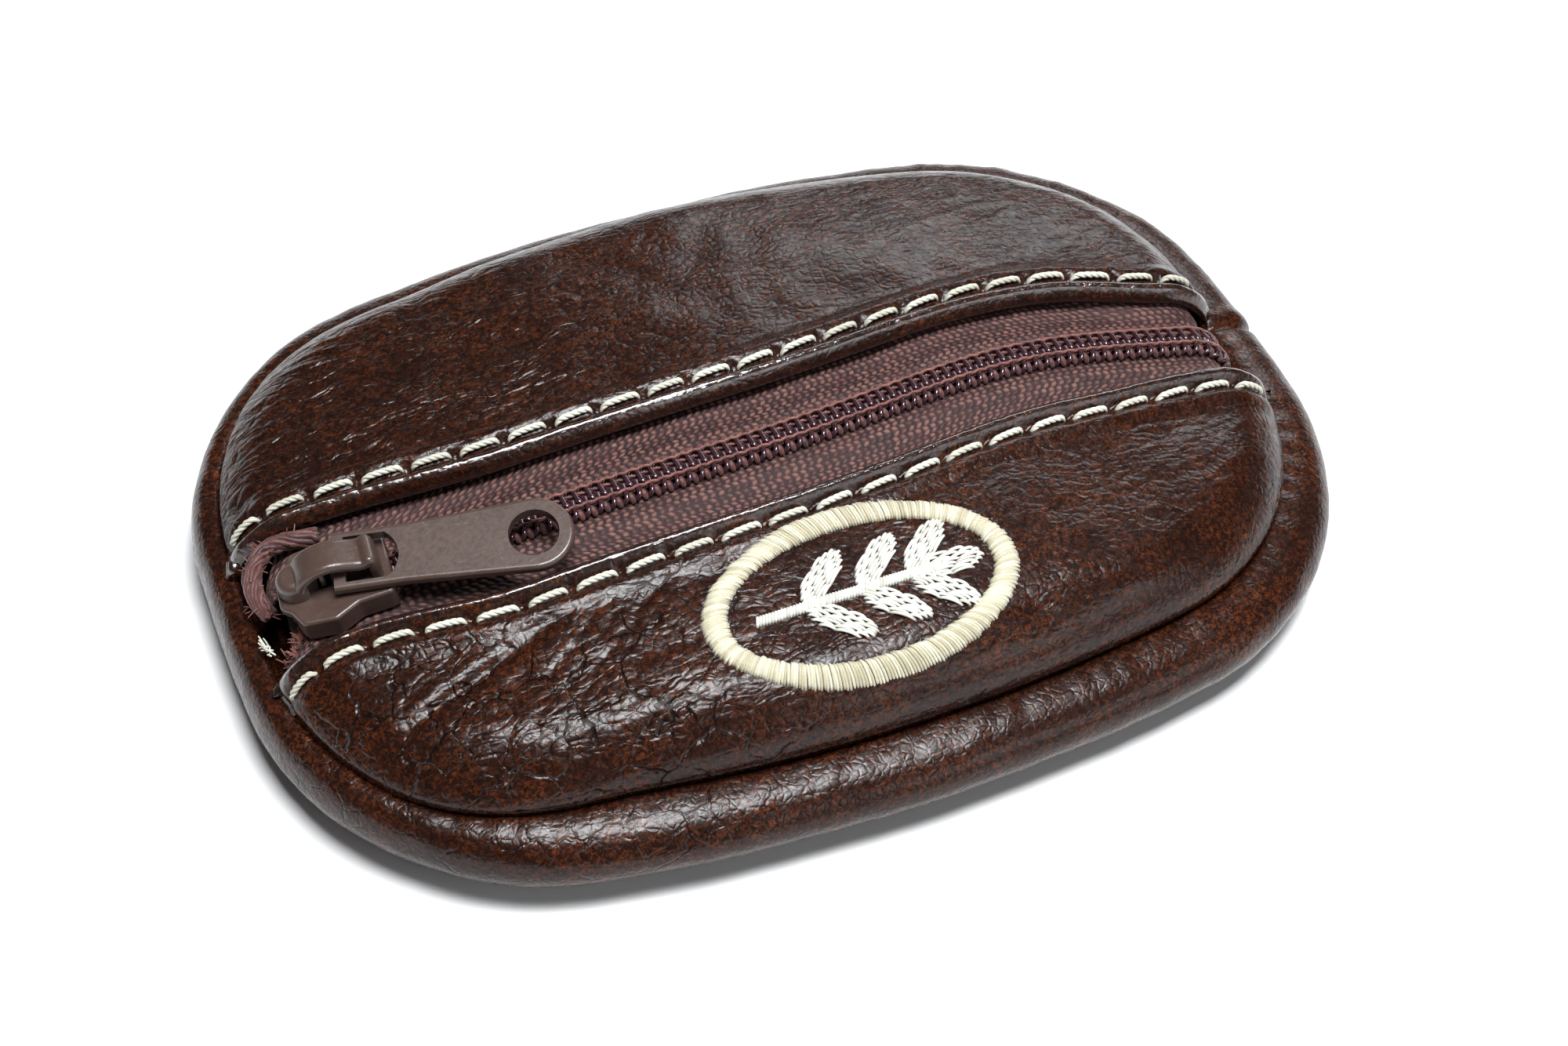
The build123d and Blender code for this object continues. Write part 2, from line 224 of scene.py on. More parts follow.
def make_mesh(name, points, faces, material):
    """Smooth-shaded object from points in millimetres."""
    mesh = bpy.data.meshes.new(name)
    mesh.from_pydata([(x * MM, y * MM, z * MM) for x, y, z in points], [], faces)
    mesh.validate()
    mesh.polygons.foreach_set("use_smooth", [True] * len(mesh.polygons))
    mesh.materials.append(material)
    piece = bpy.data.objects.new(name, mesh)
    bpy.context.scene.collection.objects.link(piece)
    return piece


def point_values(piece, name, values):
    """Store one number on each point of a mesh, for its material to read."""
    layer = piece.data.attributes.new(name, "FLOAT", "POINT")
    layer.data.foreach_set("value", values)


def thicken(piece, thickness, offset):
    """Give a skin its thickness in millimetres; offset -1 or 1 picks the side."""
    shell = piece.modifiers.new("thickness", "SOLIDIFY")
    shell.thickness = thickness * MM
    shell.offset = offset


def grid_faces(rows, cols, first=0, closed_rows=False, closed_cols=False):
    """Quads of a grid stored row by row."""
    faces = []
    for i in range(rows if closed_rows else rows - 1):
        for j in range(cols if closed_cols else cols - 1):
            a = first + i * cols + j
            b = first + i * cols + (j + 1) % cols
            c = first + ((i + 1) % rows) * cols + (j + 1) % cols
            d = first + ((i + 1) % rows) * cols + j
            faces.append((a, b, c, d))
    return faces


class Tubes:
    """Collects many thin tubes into one mesh."""

    def __init__(self):
        self.points = []
        self.faces = []
        self.shade = []

    def add(self, path, radii, sides=6, shade=0.5):
        """Tube along path, with one radius or (wide, high) pair per point; ends closed."""
        first = len(self.points)
        count = len(path)
        up = Vector((0, 0, 1))
        for i, spot in enumerate(path):
            ahead = Vector(path[min(i + 1, count - 1)]) - Vector(path[max(i - 1, 0)])
            ahead.normalize()
            side = ahead.cross(up)
            if side.length < 1e-4:
                side = Vector((0, 1, 0))
            side.normalize()
            top = side.cross(ahead)
            wide, high = radii[i] if isinstance(radii[i], tuple) else (radii[i], radii[i])
            for k in range(sides):
                angle = 2 * pi * k / sides
                self.points.append(Vector(spot) + side * wide * cos(angle) + top * high * sin(angle))
                self.shade.append(shade)
        self.faces += grid_faces(count, sides, first, closed_cols=True)
        self.faces.append(tuple(first + k for k in range(sides))[::-1])
        last = first + (count - 1) * sides
        self.faces.append(tuple(last + k for k in range(sides)))

    def make(self, name, material):
        """One object with a shade value on each point."""
        piece = make_mesh(name, self.points, self.faces, material)
        point_values(piece, "strand", self.shade)
        return piece


# --------------------------------------------------------------- materials

class Nodes:
    """Short way to write a node material."""

    def __init__(self, name):
        self.material = bpy.data.materials.new(name)
        self.material.use_nodes = True
        self.tree = self.material.node_tree
        self.tree.nodes.clear()
        self.out = self.node("ShaderNodeOutputMaterial")
        self.shader = self.node("ShaderNodeBsdfPrincipled")
        self.tree.links.new(self.shader.outputs[0], self.out.inputs[0])
        self.where = self.node("ShaderNodeTexCoord").outputs["Object"]

    def node(self, kind, **values):
        made = self.tree.nodes.new(kind)
        for key, value in values.items():
            setattr(made, key, value)
        return made

    def feed(self, socket, value):
        if isinstance(value, bpy.types.NodeSocket):
            self.tree.links.new(value, socket)
        elif value is not None:
            socket.default_value = value

    def place(self, scale, turn=0.0, warp=None):
        """Object coordinates in millimetres divided by scale, per axis."""
        node = self.node("ShaderNodeMapping")
        self.feed(node.inputs["Vector"], warp or self.where)
        sizes = scale if isinstance(scale, tuple) else (scale, scale, scale)
        node.inputs["Scale"].default_value = [1 / (MM * s) for s in sizes]
        node.inputs["Rotation"].default_value = (0, 0, turn)
        return node.outputs[0]

    def noise(self, scale, detail=3.0, rough=0.55, distort=0.0):
        node = self.node("ShaderNodeTexNoise")
        self.feed(node.inputs["Vector"], self.place(scale))
        node.inputs["Scale"].default_value = 1.0
        node.inputs["Detail"].default_value = detail
        node.inputs["Roughness"].default_value = rough
        node.inputs["Distortion"].default_value = distort
        return node.outputs["Fac"]

    def warped(self, scale, amount):
        """Object coordinates pushed about by noise, in metres."""
        node = self.node("ShaderNodeTexNoise")
        self.feed(node.inputs["Vector"], self.place(scale))
        node.inputs["Scale"].default_value = 1.0
        push = self.node("ShaderNodeVectorMath", operation="SUBTRACT")
        self.feed(push.inputs[0], node.outputs["Color"])
        push.inputs[1].default_value = (0.5, 0.5, 0.5)
        grow = self.node("ShaderNodeVectorMath", operation="SCALE")
        self.feed(grow.inputs[0], push.outputs[0])
        grow.inputs["Scale"].default_value = amount * MM
        total = self.node("ShaderNodeVectorMath", operation="ADD")
        self.feed(total.inputs[0], self.where)
        self.feed(total.inputs[1], grow.outputs[0])
        return total.outputs[0]

    def cells(self, scale, turn=0.0, warp=None):
        """Distance to the edge of irregular cells."""
        node = self.node("ShaderNodeTexVoronoi", feature="DISTANCE_TO_EDGE")
        self.feed(node.inputs["Vector"], self.place(scale, turn, warp))
        node.inputs["Scale"].default_value = 1.0
        return node.outputs["Distance"]

    def axis(self, name):
        """One object coordinate in millimetres."""
        node = self.node("ShaderNodeSeparateXYZ")
        self.feed(node.inputs[0], self.where)
        return self.math("DIVIDE", node.outputs[name], MM)

    def math(self, kind, a, b, clamp=False):
        node = self.node("ShaderNodeMath", operation=kind, use_clamp=clamp)
        for socket, value in zip(node.inputs, (a, b)):
            self.feed(socket, value)
        return node.outputs[0]

    def span(self, value, low, high, to_low=0.0, to_high=1.0):
        node = self.node("ShaderNodeMapRange")
        self.feed(node.inputs["Value"], value)
        ends = {"From Min": low, "From Max": high, "To Min": to_low, "To Max": to_high}
        for key, number in ends.items():
            self.feed(node.inputs[key], number)
        return node.outputs["Result"]

    def mix(self, share, first, second):
        node = self.node("ShaderNodeMix", data_type="RGBA")
        self.feed(node.inputs["Factor"], share)
        a_socket = [s for s in node.inputs if s.name == "A" and s.type == "RGBA"][0]
        b_socket = [s for s in node.inputs if s.name == "B" and s.type == "RGBA"][0]
        self.feed(a_socket, first)
        self.feed(b_socket, second)
        return [s for s in node.outputs if s.type == "RGBA"][0]

    def relief(self, height, depth_mm, under=None):
        """Bump of that depth, over another bump."""
        node = self.node("ShaderNodeBump")
        node.inputs["Strength"].default_value = 1.0
        node.inputs["Distance"].default_value = depth_mm * MM
        self.feed(node.inputs["Height"], height)
        if under is not None:
            self.feed(node.inputs["Normal"], under)
        return node.outputs[0]

    def set(self, **values):
        for key, value in values.items():
            self.feed(self.shader.inputs[key.replace("_", " ")], value)


LEATHER_DARK = (0.0040, 0.0014, 0.0010, 1)
LEATHER_BROWN = (0.021, 0.0063, 0.0038, 1)
LEATHER_WORN = (0.098, 0.024, 0.0062, 1)
GRAIN_LINE = (0.005, 0.0018, 0.0013, 1)
# painted shade for the valleys of the creases
CREASE_SHADE = (0.004, 0.0015, 0.001, 1)
CRACK_LINE = (0.002, 0.0008, 0.0006, 1)


def crease_share(m, creased):
    """Where stretched creases and their painted shade show: in patches, and all over the slider's end of
    the rear half.
    """
    rear_left = m.math("MULTIPLY", m.span(m.axis("X"), -2.0, -24.0), m.span(m.axis("Y"), 4.0, 10.0))
    share = m.math("ADD", m.span(m.noise(9.0, 2.0), 0.34, 0.62, 0.25, 0.9), rear_left)
    return m.math("MULTIPLY", share, creased)


def crack_share(m, creased):
    """Thin cracks, only on the slider's end of the front half."""
    front_left = m.math("MULTIPLY", m.span(m.axis("X"), -2.0, -24.0), m.span(m.axis("Y"), -14.0, -19.0))
    crack = m.span(m.cells((4.6, 3.6, 4.0), warp=m.warped(3.0, 2.8)), 0.0, 0.045, 1.0, 0.0)
    broken = m.math("MULTIPLY", front_left, m.span(m.noise(5.0), 0.40, 0.55))
    return m.math("MULTIPLY", m.math("MULTIPLY", crack, broken), creased, clamp=True)


def leather(name, grain, orange, gloss, creased):
    """Waxed brown leather: orange mottling, pebble grain, creases with painted shade in their valleys,
    cracks, a polished zip fold.
    """
    m = Nodes(name)
    pebble = m.cells(grain, warp=m.warped(1.6, 0.7))
    fold = m.span(m.cells((3.2, 0.95, 1.8), warp=m.warped(6.0, 5.0)), 0.0, 0.24)
    where = crease_share(m, creased)
    crack = crack_share(m, creased)
    polish = m.node("ShaderNodeAttribute", attribute_name="polish").outputs["Fac"]

    patch = m.span(m.noise(8.0, 4.0, 0.6, 0.4), 0.34, 0.66, 0.25, 1.0)
    speck = m.span(m.noise(0.50, 4.0, 0.75, 0.8), 0.47, 0.60)
    worn = m.math("MULTIPLY", m.math("MULTIPLY", patch, speck), orange, clamp=True)
    colour = m.mix(m.noise(1.9, 5.0, 0.65), LEATHER_DARK, LEATHER_BROWN)
    colour = m.mix(worn, colour, LEATHER_WORN)
    colour = m.mix(m.span(pebble, 0.0, 0.10, 0.5, 0.0), colour, GRAIN_LINE)
    # painted shade: the creases' valleys, low in the bump where the cells meet, are darkened
    crease_shade = m.math("MULTIPLY", where, m.span(fold, 0.0, 0.5, 0.5, 0.0))
    colour = m.mix(crease_shade, colour, CREASE_SHADE)
    colour = m.mix(crack, colour, CRACK_LINE)

    bumps = m.relief(m.span(pebble, 0.0, 0.25), 0.022)
    bumps = m.relief(m.math("MULTIPLY", fold, where), 0.06, under=bumps)
    bumps = m.relief(m.math("MULTIPLY", crack, -1.0), 0.20, under=bumps)
    bumps = m.relief(m.noise(0.30, 3.0, 0.65), 0.016, under=bumps)

    rough = m.span(m.noise(0.9, 4.0, 0.6), 0.3, 0.7, gloss - 0.06, gloss + 0.10)
    rough = m.math("SUBTRACT", rough, m.math("MULTIPLY", polish, 0.06))
    m.set(Base_Color=colour, Roughness=rough, Normal=bumps)
    m.set(Specular_IOR_Level=m.span(polish, 0.0, 1.0, 0.25, 0.8))
    m.set(Coat_Weight=m.span(polish, 0.0, 1.0, 0.05, 0.8), Coat_Roughness=0.14)
    return m.material


def thread_look(name, dark, light, rough, fibre, sheen=0.2):
    """Thread: fine fibres, a different shade on each strand."""
    m = Nodes(name)
    strand = m.node("ShaderNodeAttribute", attribute_name="strand").outputs["Fac"]
    fuzz = m.noise(fibre, 3.0, 0.7)
    share = m.math("MULTIPLY", strand, m.span(fuzz, 0.3, 0.7, 0.6, 1.3), clamp=True)
    m.set(Base_Color=m.mix(share, dark, light), Roughness=rough)
    m.set(Normal=m.relief(m.noise((fibre * 5, fibre, fibre), 2.0), 0.03))
    m.set(Sheen_Weight=sheen, Specular_IOR_Level=0.4)
    return m.material


def woven(name):
    """Zip tape cloth: light flecks where a thread comes up and dark between them, painted highlight and
    painted shade of the weave.
    """
    m = Nodes(name)
    strand = m.node("ShaderNodeAttribute", attribute_name="strand").outputs["Fac"]
    fuzz = m.noise((0.35, 0.10, 0.10), 3.0, 0.7)
    # painted highlight on the weave's tops and painted shade between them, times each fleck's own tone
    painted_weave_light_and_tone = m.math("MULTIPLY", strand, m.span(fuzz, 0.3, 0.7, 0.7, 1.25))
    base = m.mix(m.span(painted_weave_light_and_tone, 0.12, 0.95), (0.022, 0.0080, 0.0090, 1), (0.20, 0.092, 0.072, 1))
    colour = m.mix(m.span(m.noise(2.4, 3.0), 0.4, 0.7, 0.0, 0.35), base, (0.060, 0.018, 0.019, 1))
    m.set(Base_Color=colour, Roughness=0.6, Sheen_Weight=0.08)
    m.set(Normal=m.relief(fuzz, 0.04), Specular_IOR_Level=0.3)
    return m.material


def painted(name):
    """Slider enamel: satin paint with faint orange peel, dust and small scratches."""
    m = Nodes(name)
    cloud = m.noise(2.2, 4.0)
    colour = m.mix(m.span(cloud, 0.3, 0.7), (0.058, 0.034, 0.026, 1), (0.072, 0.043, 0.034, 1))
    scratch = m.cells((7.0, 0.9, 3.0), turn=0.5, warp=m.warped(4.0, 1.0))
    mark = m.math("MULTIPLY", m.span(scratch, 0.0, 0.012, 1.0, 0.0), m.span(m.noise(2.0), 0.56, 0.66))
    colour = m.mix(m.math("MULTIPLY", mark, 0.5), colour, (0.26, 0.21, 0.19, 1))
    rough = m.span(m.noise(0.5, 4.0, 0.7), 0.35, 0.7, 0.30, 0.46)
    m.set(Base_Color=colour, Roughness=rough, Coat_Weight=0.25, Coat_Roughness=0.15)
    m.set(Normal=m.relief(m.noise(0.35, 3.0), 0.012), Specular_IOR_Level=0.5)
    return m.material


def nylon(name):
    """Coil filament: dark, smooth and glossy, with a little drawing grain."""
    m = Nodes(name)
    colour = m.mix(m.noise(0.6), (0.020, 0.007, 0.011, 1), (0.055, 0.019, 0.026, 1))
    m.set(Base_Color=colour, Roughness=m.span(m.noise(0.3), 0.3, 0.7, 0.10, 0.22))
    m.set(Normal=m.relief(m.noise((0.1, 1.0, 0.1)), 0.006), Coat_Weight=0.5, Coat_Roughness=0.1)
    return m.material


def steel(name):
    """Spring steel of the locking leaf, with brushed grain."""
    m = Nodes(name)
    m.set(Base_Color=(0.5, 0.49, 0.47, 1), Metallic=1.0)
    m.set(Roughness=m.span(m.noise((2.0, 0.1, 0.1)), 0.3, 0.7, 0.25, 0.45))
    return m.material


def floor_look():
    """Pale seamless paper."""
    m = Nodes("pale_floor")
    m.set(Base_Color=(0.93, 0.93, 0.93, 1), Roughness=0.85)
    return m.material


top_leather = leather("leather_top", 0.95, 0.9, 0.25, 0.8)
band_leather = leather("leather_band", 0.80, 1.0, 0.26, 0.25)
cream = thread_look("topstitch_thread", (0.34, 0.32, 0.24, 1), (0.74, 0.74, 0.64, 1), 0.5, 0.15)
satin = thread_look("satin_thread", (0.34, 0.29, 0.17, 1), (0.74, 0.71, 0.55, 1), 0.36, 0.12, 0.3)
fill_thread = thread_look("fill_thread", (0.42, 0.40, 0.33, 1), (0.84, 0.84, 0.78, 1), 0.45, 0.12, 0.3)
zip_thread = thread_look("zip_sewing_thread", (0.040, 0.013, 0.016, 1), (0.30, 0.105, 0.075, 1), 0.5, 0.12)
seam_thread = thread_look("seam_thread", (0.03, 0.012, 0.008, 1), (0.09, 0.035, 0.02, 1), 0.6, 0.12)
cloth = woven("zip_tape_cloth")
enamel = painted("slider_enamel")
coil_look = nylon("coil_nylon")
pin_look = steel("pin_steel")


# ------------------------------------------------------------ leather skin

# per side: stitch line's distance from the zip edge, seed of the swells
SIDES = {1: (2.5, 11.0), -1: (2.6, 41.0)}
STITCH_PITCH = 4.8
STITCH_HALF = 2.05


def stitch_y(x, side):
    """Plan y of the stitch line."""
    return zip_edge(x, side) + side * SIDES[side][0]


def stitch_track(side, way):
    """Plan x against length along the rolled surface, from the middle of the stitch line."""
    x = 0.0
    run = 0.0
    track = [(run, x)]
    while depth(x, stitch_y(x, side)) > seam_inset(x) + 0.04:
        ahead = x + 0.05 * way
        rise = rolled_top(ahead, stitch_y(ahead, side)) - rolled_top(x, stitch_y(x, side))
        run += hypot(0.05, rise)
        x = ahead
        track.append((run, x))
    return track


TRACKS = {(side, way): stitch_track(side, way) for side in SIDES for way in (-1, 1)}


def stitch_x(side, run):
    """Plan x at a length along the stitch line."""
    track = TRACKS[side, 1 if run > 0 else -1]
    low = min(max(bisect(track, (abs(run), -1e9)), 1), len(track) - 1)
    (run_a, x_a), (run_b, x_b) = track[low - 1], track[low]
    return x_a + (x_b - x_a) * (abs(run) - run_a) / (run_b - run_a)


def stitch_numbers(side):
    """Numbers of the stitches that fit between the seams, 0 in the middle."""
    ends = [int((TRACKS[side, way][-1][0] - STITCH_HALF) / STITCH_PITCH) for way in (-1, 1)]
    return range(-ends[0], ends[1] + 1)


def stitch_holes(side):
    """Plan x of the holes at both ends of every stitch."""
    spots = [k + half for k in stitch_numbers(side) for half in (-0.5, 0.5)]
    return [stitch_x(side, spot * STITCH_PITCH) for spot in spots]


HOLES = {side: stitch_holes(side) for side in SIDES}


def hole_dip(x, from_line, side):
    """How far the leather is pulled down near a stitch hole."""
    if abs(from_line) > 2:
        return 0.0
    near = min(abs(x - hole) for hole in HOLES[side])
    return bump(0.0, 0.5, near) * bump(0.0, 0.65, from_line)


def zip_edge_shape(e, x, side):
    """Height added near the folded zip edge: rounded bead, then the stitched valley."""
    stitch_at = SIDES[side][0]
    bead = 0.75 * bump(1.0, 0.80, e) + 0.05 * bump(0.85, 0.6, e) * swell(x, e, side, 0.7)
    valley = -0.36 * bump(stitch_at - 0.55, 0.60, e)
    back = 0.50 * bump(stitch_at + 1.25, 1.0, e)
    return bead + valley + back - 0.4 * hole_dip(x, e - stitch_at, side)


def rear_creases(x, y):
    """Long creases along the zip that gather towards the slider's end of the rear panel."""
    patch = smooth(2.0, -24.0, x) * smooth(3.0, 8.0, y) * smooth(33.0, 25.0, y)
    slant = y + 0.08 * x + 1.2 * swell(x, y, 17.0, 9.0)
    lines = ridge(x / 8.0, slant / 1.9, 3.0, 3)
    near_end = smooth(4.0, 40.0, x) * smooth(2.0, 8.0, y)
    pull = ridge(x / 9.0 + y / 14.0, y / 2.6 - x / 16.0, 5.0, 2)
    wave = 0.55 * patch * sin(y / 1.6 + 1.6 * swell(x, y, 27.0, 8.0))
    return 0.34 * patch * (lines - 0.45) + 0.12 * patch * wave + 0.20 * near_end * (pull - 0.4)


def front_creases(x, y):
    """Crackle to the left of the motif and folds that run to the corners."""
    patch = smooth(-4.0, -20.0, x) * smooth(-15.0, -18.5, y)
    crackle = ridge(x / 5.5, y / 4.0, 21.0, 3)
    fold = bump(0.0, 0.9, (y + 21.5) - (x + 42.0) * 0.30) * bump(-38.0, 7.0, x)
    right = smooth(16.0, 36.0, x)
    fan = ridge(x / 8.0 - y / 20.0, y / 2.3 - x / 14.0, 31.0, 2)
    return -0.30 * patch * (crackle - 0.4) - 0.75 * fold + 0.16 * right * (fan - 0.4)


def skin(x, y, side):
    """Height of a panel's outer face with its bead, stitch valley, creases and swells."""
    seed = SIDES[side][1]
    e = abs(y - zip_edge(x, side))
    inside = depth(x, y) - seam_inset(x)
    fade = smooth(0.0, 2.5, inside)
    z = rolled_top(x, y) + zip_edge_shape(e, x, side) * smooth(-0.2, 1.5, inside)
    creases = rear_creases if side > 0 else front_creases
    z += creases(x, y) * smooth(0.3, 3.0, inside) * smooth(2.4, 5.0, e)
    z += 0.40 * swell(x, y, seed, 13.0) * fade * smooth(2.0, 7.0, e)
    z += 0.10 * swell(x, y, seed + 5, 3.6) * fade * smooth(1.5, 4.0, e)
    return z


# under the folded zip edge: distance behind the edge, height against the top
FOLD_UNDERSIDE = ((3.4, -2.0), (2.2, -2.05), (1.0, -2.0), (0.35, -1.7), (0.05, -1.2), (0.0, -0.8),
                  (0.08, -0.45), (0.22, -0.2))
TOP_START = 0.45
PANEL_END = 50.0
TUCKED_STEPS = 6
TUCKED_Z = 7.4


def panel_piece(name, side, node):
    """Half of the crowned top, from its folded zip edge to the seam groove."""
    cols, rows = ((440, 150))
    seed = SIDES[side][1]
    points = []
    polish = []
    edge_ends = []
    for sign in (-1, 1):
        curve = zip_edge(sign * PANEL_END, side) ** 2 / (2 * END_ARC)
        edge_ends.append(sign * (HALF_LENGTH - seam_inset(sign * PANEL_END) - 0.15 - curve))
    low_run = run_at(edge_ends[1], zip_edge(PANEL_END, side))
    high_run = run_at(edge_ends[0], zip_edge(-PANEL_END, side))
    for i in range(cols + 1):
        s = i / cols
        zx = edge_ends[1] + (edge_ends[0] - edge_ends[1]) * s
        sx, sy, nx, ny = seam_point(low_run + (high_run - low_run) * s)
        edge_y = zip_edge(zx, side)
        for out, drop in FOLD_UNDERSIDE:
            y = edge_y + side * out
            points.append((zx, y, max(rolled_top(zx, y) + drop, SEAM_Z - 1.4)))
            polish.append(0.5)
        for j in range(rows + 1):
            v = j / rows
            w = v - 0.7 * sin(2 * pi * v) / (2 * pi)
            x = zx + (sx - zx) * w
            y = edge_y + side * TOP_START + (sy - edge_y - side * TOP_START) * w
            inside = depth(x, y) - seam_inset(x)
            pucker = sin(x * 1.1 + y * 0.9 + 3.0 * swell(x, y, seed + 2, 6.0)) * swell(x, y, seed, 7.0)
            z = skin(x, y, side) + 0.10 * pucker * bump(0.6, 1.4, inside)
            out = 0.5 * smooth(9.2, 10.6, z) * smooth(3.0, 0.0, inside)
            points.append((x + nx * out, y + ny * out, z))
            polish.append(bump(0.6, 0.9, abs(y - zip_edge(x, side))))
        low = rolled_top(sx, sy)
        for k in range(1, TUCKED_STEPS + 1):
            z = low + (TUCKED_Z - low) * k / TUCKED_STEPS
            out = 0.5 * smooth(9.2, 10.6, z) - 0.3 * smooth(9.4, 8.2, z)
            points.append((sx + nx * out, sy + ny * out, z))
            polish.append(0.0)
    wide = len(FOLD_UNDERSIDE) + rows + 1 + TUCKED_STEPS
    piece = make_mesh(name, points, grid_faces(cols + 1, wide), top_leather)
    point_values(piece, "polish", polish)
    if side < 0:
        piece.data.flip_normals()
    thicken(piece, LEATHER, -1)
    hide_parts(node)
    follow_zip(piece)
    return piece


def follow_zip(piece):
    """Bake the piece's placement into its mesh."""
    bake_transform(piece)


def run_at(x, y):
    """Length along the outline, from the +X end, of its point nearest a plan point."""
    best = 0.0
    best_gap = 1e9
    for k in range(1440):
        run = PERIMETER * k / 1440
        px, py, _, _ = seam_point(run)
        gap = hypot(px - x, py - y)
        if gap < best_gap:
            best, best_gap = run, gap
    return best


panel_piece("rear_panel_skin", 1, "rear_panel")
panel_piece("front_panel_skin", -1, "front_panel")


BAND_MIDDLE = 5.3
BAND_RISE = 3.75
BAND_TUCK = 0.55
JOIN_RUN = run_at(51.1, 1.0)


def band_piece():
    """Rolled side band, tucked into the grooves above and below, with its join near the far end."""
    around, steps = 720, 44
    points = []
    for i in range(around):
        run = PERIMETER * i / around
        seam_x = outline(run, SEAM_INSET)[0]
        for j in range(steps + 1):
            t = j / steps
            angle = -pi / 2 - BAND_TUCK + t * (pi + 2 * BAND_TUCK)
            base = SEAM_INSET + (seam_inset(seam_x) - SEAM_INSET) * smooth(-0.2, 0.6, angle)
            out = max(cos(angle), -0.35)
            bulge = (base - 0.15) * abs(out) ** 0.82 if out > 0 else 5.75 * out
            height = BAND_MIDDLE + BAND_RISE * sin(angle)
            if abs(angle) > pi / 2:
                height -= (abs(angle) - pi / 2) * 2.6 * (1 if angle > 0 else -1)
            x, y, nx, ny = outline(run, min(base - bulge, base + 0.5))
            soft = 0.22 * swell(x, y, height, 11.0) + 0.07 * swell(x, y, height, 2.6)
            seam_pucker = 0.05 * sin(run * 1.7 + 6 * swell(x, y, 0, 9.0)) * bump(pi / 2, 0.55, angle)
            rear_right = bump(HALF_LENGTH * 0.55, 30.0, run) * smooth(-0.2, 0.9, angle)
            folds = 0.42 * rear_right * (ridge(run / 6.0, height / 16.0, 2.0, 2) - 0.4)
            join = -0.6 * bump(JOIN_RUN, 0.5, run) + 0.22 * bump(JOIN_RUN + 1.6, 1.0, run)
            lift = soft + seam_pucker + folds + join * smooth(-1.6, -0.6, angle)
            tilt = max(cos(angle), 0.0)
            points.append((x + nx * lift * tilt, y + ny * lift * tilt,
                           height + lift * sin(angle) * (1 if angle > -0.9 else 0)))
    faces = grid_faces(around, steps + 1, closed_rows=True)
    piece = make_mesh("side_band_skin", points, faces, band_leather)
    piece.data.flip_normals()
    thicken(piece, LEATHER, -1)
    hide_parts("side_band")
    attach(piece, "root")
    return piece


band_piece()


BASE_ROUND = 2.2
BASE_MIDDLE = 38.0
DEEPEST_INSET = 30.0
FLAT_SHARE = 0.8


def bottom_piece():
    """Flat bottom panel with a soft rolled edge up into its seam."""
    around, rings = 360, 40
    points = []
    for i in range(around):
        run = PERIMETER * i / around
        for j in range(rings + 1):
            t = j / rings
            if t < FLAT_SHARE:
                inset = BASE_MIDDLE - (BASE_MIDDLE - SEAM_INSET - BASE_ROUND) * (t / FLAT_SHARE) ** 0.6
                x, y, _, _ = outline(run, min(inset, DEEPEST_INSET))
                shrink = max(0.03, min(1.0, (BASE_MIDDLE - inset) / (BASE_MIDDLE - DEEPEST_INSET)))
                x, y = x * shrink, y * shrink
                z = 0.02 + 0.05 * abs(swell(x, y, 3.0, 5.0)) * smooth(2.0, 10.0, hypot(x, y))
            else:
                angle = (t - FLAT_SHARE) / (1 - FLAT_SHARE) * pi / 2
                inset = SEAM_INSET + BASE_ROUND * (1 - sin(angle))
                x, y, _, _ = outline(run, inset)
                z = BASE_ROUND * (1 - cos(angle)) + 0.02
            points.append((x, y, z))
    faces = grid_faces(around, rings + 1, closed_rows=True)
    faces.append(tuple(i * (rings + 1) for i in range(around)))
    piece = make_mesh("bottom_panel_skin", points, faces, top_leather)
    thicken(piece, BASE_LEATHER, 1)
    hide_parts("bottom_panel")
    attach(piece, "root")
    return piece


bottom_piece()


# -------------------------------------------------------------- topstitches

def on_stitch_line(side, run, across, lift):
    """Point over a panel's stitch line, moved off the leather along its slope's normal."""
    x = stitch_x(side, run)
    y = stitch_y(x, side)
    rise = (rolled_top(x + 0.05, y) - rolled_top(x - 0.05, y)) / 0.1
    long = hypot(1.0, rise)
    return Vector((x - lift * rise / long, y + across, skin(x, y, side) + lift / long))


def topstitch_piece(name, side, node):
    """Heavy three-ply stitches, each a little slanted, ends pulled into the leather."""
    tubes = Tubes()
    for index in stitch_numbers(side):
        shade = random.uniform(0.45, 0.85)
        lean = random.uniform(0.08, 0.20)
        half = STITCH_HALF + random.uniform(-0.12, 0.06)
        for ply in range(3):
            path = []
            radii = []
            for k in range(27):
                t = -1 + 2 * k / 26
                arch = 0.24 + 0.26 * (1 - abs(t) ** 3) - 0.75 * abs(t) ** 12
                twist = ply * 2 * pi / 3 + t * 6.4
                around = 0.165 * (1 - 0.5 * abs(t) ** 6)
                path.append(on_stitch_line(side, index * STITCH_PITCH + t * half,
                                           t * lean + around * cos(twist), arch + around * sin(twist)))
                radii.append(0.18 * (1 - 0.35 * abs(t) ** 8))
            tubes.add(path, radii, 7, shade + random.uniform(-0.15, 0.15))
    piece = tubes.make(name, cream)
    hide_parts(node)
    follow_zip(piece)
    return piece


topstitch_piece("topstitch_rear_thread", 1, "topstitch_rear")
topstitch_piece("topstitch_front_thread", -1, "topstitch_front")


# ----------------------------------------------------------------- the zip

# run at which the tape starts to roll down, and the radius of that roll
END_TURN = 45.6
ROLL = 5.2
FULL_ROLL = 1.25


def on_arc(run, y, lift):
    """Point at run mm along the zip arc, at y, lift mm above the tape's upper face."""
    angle = run / ZIP_ARC
    radius = TAPE_RADIUS + lift
    return Vector((radius * sin(angle), y, ARC_Z + radius * cos(angle)))


